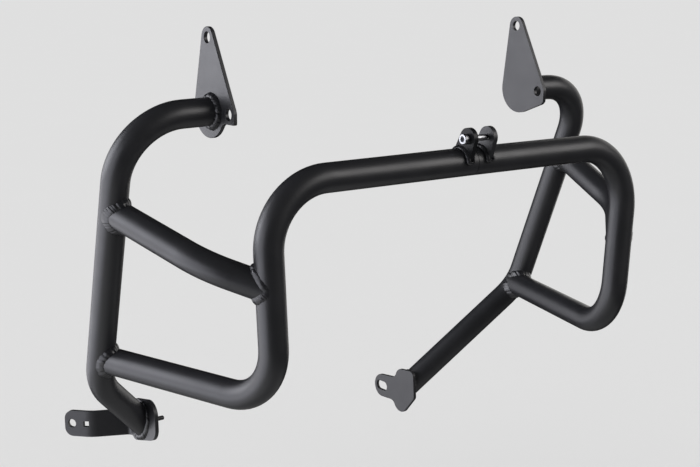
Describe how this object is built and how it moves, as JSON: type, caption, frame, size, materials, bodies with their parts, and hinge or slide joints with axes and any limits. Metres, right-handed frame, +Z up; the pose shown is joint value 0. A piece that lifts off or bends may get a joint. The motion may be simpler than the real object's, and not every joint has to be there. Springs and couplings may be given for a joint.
{
  "type": "motorcycle crash bars",
  "caption": "Pair of mirrored welded tube guards, bolted together at the front, with drilled plates that fix them to a motorcycle's frame.",
  "frame": {"origin": "on the common axis of the two upper mounting holes, halfway between the two upper plates", "axes": "+X towards the rider's left, -Y forward, +Z up; the part is longest along X"},
  "size_m": [0.6054, 0.3606, 0.48],
  "materials": {
    "black_coat": "satin",
    "zinc": "satin"
  },
  "bodies": {
    "root": {"joint_screw": "zinc", "left_brace_front_weld": "black_coat", "left_brace_rear_weld": "black_coat", "left_brace_tube": "black_coat", "left_ear_weld": "black_coat", "left_front_tube": "black_coat", "left_joint_ear": "black_coat", "left_loop_weld": "black_coat", "left_lower_plate": "black_coat", "left_lower_weld": "black_coat", "left_rear_tube": "black_coat", "left_top_plate": "black_coat", "left_top_weld": "black_coat", "right_brace_front_weld": "black_coat", "right_brace_rear_weld": "black_coat", "right_brace_tube": "black_coat", "right_ear_weld": "black_coat", "right_front_tube": "black_coat", "right_joint_ear": "black_coat", "right_loop_weld": "black_coat", "right_lower_bracket": "black_coat", "right_lower_weld": "black_coat", "right_rear_tube": "black_coat", "right_stop_pin": "black_coat", "right_top_plate": "black_coat", "right_top_weld": "black_coat"}
  },
  "joints": []
}
